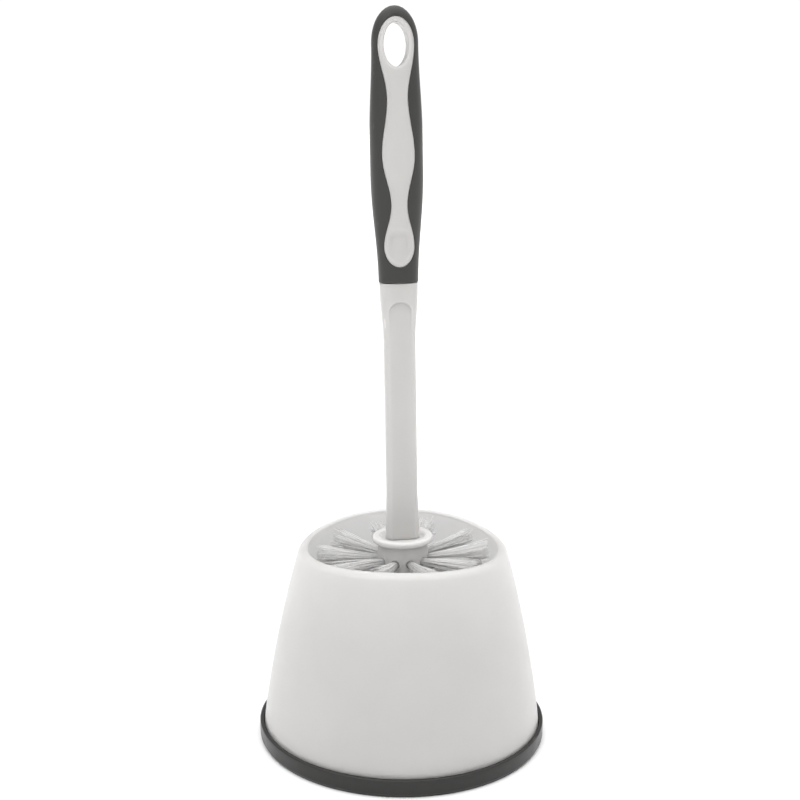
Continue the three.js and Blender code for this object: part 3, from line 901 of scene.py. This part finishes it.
def distance_to(points, x, z):
    """Distance in the X-Z plane from each (x, z) to the nearest outline point."""
    flat = np.column_stack([np.abs(x).ravel(), z.ravel()])
    best = np.full(len(flat), 1e9)
    for k in range(0, len(points), 64):
        d = flat[:, None, :] - points[None, k:k + 64, :]
        best = np.minimum(best, np.sqrt((d ** 2).sum(-1)).min(1))
    return best.reshape(x.shape)


def rounding(distance, radius):
    """How far a rounded edge drops at a distance from its outline."""
    d = np.clip(radius - distance, 0, radius)
    return radius - np.sqrt(radius ** 2 - d ** 2)


def edge_spaced(count):
    """Shares from 0 to 1, closer together near both ends."""
    t = np.linspace(0, 1, count)
    return 0.35 * t + 0.65 * (1 - np.cos(math.pi * t)) / 2


def halves(right, faces):
    """Both halves of a piece from the right one."""
    left = right * np.array([-1.0, 1.0, 1.0])
    n = len(right)
    faces = np.asarray(faces)
    return np.concatenate([right, left]), np.concatenate([faces, faces[:, ::-1] + n])


def mixed(a, b, shares):
    """Columns of points from column a to column b."""
    return a * (1 - shares)[None, :, None] + b * shares[None, :, None]


def inlay():
    """The white inlay with its thumb dish, and the collar of the hanging hole, from front to back."""
    z = handle_rows(INLAY_END, COLLAR_TOP)
    outer, inner = inlay_half_width(z), hole_half_width(z)
    outer = np.maximum(outer, inner)
    wide, deep = grip_size(z)
    share = edge_spaced(INLAY_COLUMNS)
    x = inner[:, None] + (outer - inner)[:, None] * share[None, :]
    zz = np.repeat(z[:, None], x.shape[1], 1)
    face = front_depth(x, wide[:, None], deep[:, None]) - INLAY_SINK
    edge = distance_to(outline_points(inlay_half_width, INLAY_END, COLLAR_TOP), x, zz)
    hole = distance_to(outline_points(hole_half_width, HOLE_CENTRE - HOLE_HALF_HEIGHT,
                                      HOLE_CENTRE + HOLE_HALF_HEIGHT), x, zz)
    below = smoothstep(INLAY_END + THUMB_TOP, INLAY_END + THUMB_TOP - THUMB_TOP_RUN, zz)
    above = smoothstep(INLAY_END, INLAY_END + THUMB_LOW_RUN, zz)
    dip = THUMB_DEPTH * smoothstep(0.0, THUMB_EDGE, edge) * below * above
    face = face - rounding(edge, SEAM_ROUND) - rounding(hole, HOLE_ROUND) - dip
    front = np.stack([x, -face, zz], -1)
    back = np.stack([x, face, zz], -1)[:, ::-1]
    side_share = np.linspace(0, 1, 6)[1:-1]
    side = mixed(front[:, -1:], back[:, :1], side_share)
    wall_share = np.linspace(0, 1, 14)[1:-1]
    wall = mixed(back[:, -1:], front[:, :1], wall_share)
    grid = np.concatenate([front, side, back, wall], 1)
    rows, columns = grid.shape[:2]
    quads = grid_quads(rows, columns, wrap_columns=True).reshape(rows - 1, columns, 4)
    wall_from = front.shape[1] + side.shape[1] + back.shape[1] - 1
    keep = np.ones((rows - 1, columns), bool)
    closed = np.maximum(inner[:-1], inner[1:]) <= 0
    keep[np.ix_(closed, np.arange(wall_from, columns))] = False
    verts, faces = halves(grid.reshape(-1, 3), quads[keep])
    add_piece("handle_inlay", verts, faces, HANDLE, "brush", ["handle_core"], WHITE_CORE,
              weld=0.002, flat=60)


def grip():
    """The soft grip: two strips beside the inlay, joined below it and over the hole."""
    z = handle_rows(GRIP_END, GRIP_TOP)
    window = inlay_half_width(z) + np.where(inlay_half_width(z) > 0, SEAM_GAP, 0)
    wide, deep = grip_size(z)
    window = np.minimum(window, np.maximum(wide - 0.8, 0))
    share = 2 * edge_spaced(GRIP_COLUMNS) - 1
    p = 2 / GRIP_SQUARE
    te = np.arccos(np.clip(window / np.maximum(wide, 1e-6), 0, 1) ** (GRIP_SQUARE / 2))
    t = te[:, None] * share[None, :]
    x = wide[:, None] * np.abs(np.cos(t)) ** p
    y = deep[:, None] * np.sign(np.sin(t)) * np.abs(np.sin(t)) ** p
    zz = np.repeat(z[:, None], x.shape[1], 1)
    edge = distance_to(outline_points(inlay_half_width, INLAY_END, COLLAR_TOP, SEAM_GAP), x, zz)
    fade = smoothstep(0.0, 1.5, np.abs(y))
    drop = np.maximum(rounding(edge, SEAM_ROUND) * fade, rounding(zz - GRIP_END, GRIP_END_ROUND))
    a, b = np.maximum(wide[:, None], 1e-3), np.maximum(deep[:, None], 1e-3)
    nx = np.abs(x / a) ** (GRIP_SQUARE - 1) / a
    ny = np.sign(y) * np.abs(y / b) ** (GRIP_SQUARE - 1) / b
    norm = np.maximum(np.hypot(nx, ny), 1e-9)
    x = np.maximum(x - drop * nx / norm, 0)
    y = y - drop * ny / norm
    outer = np.stack([x, y, zz], -1)
    in_top = GRIP_TOP - GRIP_WALL - 0.01
    zi = np.minimum(z, in_top)
    wide_in, deep_in = grip_size(zi, GRIP_WALL)
    wide_in = np.where(z >= in_top, 0, np.maximum(wide_in, np.where(window > 0, window + 0.15, 0)))
    deep_in = np.where(z >= in_top, 0, deep_in)
    ti = np.arccos(np.clip(window / np.maximum(wide_in, 1e-6), 0, 1) ** (GRIP_SQUARE / 2))
    ti = ti[:, None] * share[None, ::-1]
    xi = wide_in[:, None] * np.abs(np.cos(ti)) ** p
    yi = deep_in[:, None] * np.sign(np.sin(ti)) * np.abs(np.sin(ti)) ** p
    inner = np.stack([xi, yi, np.repeat(zi[:, None], xi.shape[1], 1)], -1)
    steps = np.linspace(0, 1, 6)[1:-1]
    wall_a = mixed(outer[:, -1:], inner[:, :1], steps)
    wall_b = mixed(inner[:, -1:], outer[:, :1], steps)
    grid = np.concatenate([outer, wall_a, inner, wall_b], 1)
    rows, columns = grid.shape[:2]
    quads = grid_quads(rows, columns, wrap_columns=True).reshape(rows - 1, columns, 4)
    n = outer.shape[1]
    walls = np.zeros(columns, bool)
    walls[n - 1:n + len(steps)] = True
    walls[n + len(steps) + n - 1:] = True
    keep = np.ones((rows - 1, columns), bool)
    solid_rows = np.maximum(window[:-1], window[1:]) <= 0
    keep[np.ix_(solid_rows, np.where(walls)[0])] = False
    faces = quads[keep].tolist()
    first_inner = n + len(steps)
    for k in range(n - 1):
        faces.append([k + 1, k, first_inner + n - 1 - k, first_inner + n - 2 - k])
    verts, faces = halves(grid.reshape(-1, 3), faces)
    add_piece("handle_soft_grip", verts, faces, HANDLE, "brush", ["handle_grip"], GRIP,
              weld=0.002, flat=60)


# ------------------------------------------------------------------ stage, light and camera

def stage():
    """A wide pale floor under the base."""
    mesh = bpy.data.meshes.new("floor")
    corners = [(-1, -1), (1, -1), (1, 1), (-1, 1)]
    mesh.from_pydata([(x * FLOOR_HALF, y * FLOOR_HALF, 0) for x, y in corners], [], [(0, 1, 2, 3)])
    floor = bpy.data.objects.new("floor", mesh)
    bpy.context.scene.collection.objects.link(floor)
    mesh.materials.append(shader("floor", FLOOR_COLOUR, 0.9, Specular_IOR_Level=0.1)[0])


def studio():
    """A pale room: a white horizon all round, soft light overhead, more of it from the front."""
    world = bpy.data.worlds.new("studio")
    bpy.context.scene.world = world
    world.use_nodes = True
    tree = world.node_tree
    background = tree.nodes["Background"]
    coords = tree.nodes.new("ShaderNodeTexCoord")
    split = tree.nodes.new("ShaderNodeSeparateXYZ")
    tree.links.new(coords.outputs["Generated"], split.inputs[0])
    total = remap(tree, split.outputs["Y"], -1.0, 0.2, FRONT_LEVEL, BACK_LEVEL)
    above = remap(tree, split.outputs["Z"], 0.45, 1.0, 0.0, OVERHEAD_LEVEL)
    horizon = remap(tree, split.outputs["Z"], 0.11, 0.2, HORIZON_LEVEL, 0.0)
    for operation, part in (("ADD", above), ("MAXIMUM", horizon)):
        join = tree.nodes.new("ShaderNodeMath")
        join.operation = operation
        tree.links.new(total, join.inputs[0])
        tree.links.new(part, join.inputs[1])
        total = join.outputs[0]
    tree.links.new(total, background.inputs["Strength"])
    background.inputs["Color"].default_value = (1, 1, 1, 1)


def area_light(name, place, target, size, power):
    """A rectangular light in watts, aimed at a target. Places and sizes are in metres."""
    lamp = bpy.data.lights.new(name, "AREA")
    lamp.shape = "RECTANGLE"
    lamp.size, lamp.size_y = size
    lamp.energy = power
    holder = bpy.data.objects.new(name, lamp)
    bpy.context.scene.collection.objects.link(holder)
    holder.location = place
    holder.rotation_euler = (Vector(target) - Vector(place)).to_track_quat("-Z", "Y").to_euler()


def lights():
    """A soft key from the front left, and two weak tall lights that pick out the edges."""
    area_light("key", (-0.5, -0.9, 0.9), (0, 0, 0.1), (0.5, 0.5), 1.3)
    area_light("right_back", (1.1, 0.6, 0.7), (0, 0, 0.2), (0.25, 1.0), 0.7)
    area_light("left_back", (-1.1, 0.7, 0.7), (0, 0, 0.2), (0.25, 1.0), 0.2)


def camera():
    """The photograph's viewing angle: close in front, looking a little down."""
    view = bpy.data.cameras.new("camera")
    view.sensor_width = SENSOR_WIDTH
    view.lens = FOCAL_WIDTHS * SENSOR_WIDTH
    view.shift_x = CAMERA_SHIFT
    holder = bpy.data.objects.new("camera", view)
    bpy.context.scene.collection.objects.link(holder)
    down, roll = math.radians(CAMERA_DOWN), math.radians(CAMERA_ROLL)
    turn = Matrix.Rotation(math.pi / 2 - down, 4, "X") @ Matrix.Rotation(roll, 4, "Z")
    holder.matrix_world = Matrix.Translation(CAMERA_PLACE) @ turn
    view.clip_start, view.clip_end = 0.01, 50
    bpy.context.scene.camera = holder


camera()
stage()
studio()
lights()
base_tray()
holder_shell()
brush_head()
bristles()
shaft()
inlay()
grip()
bpy.context.scene.view_settings.view_transform = "Standard"
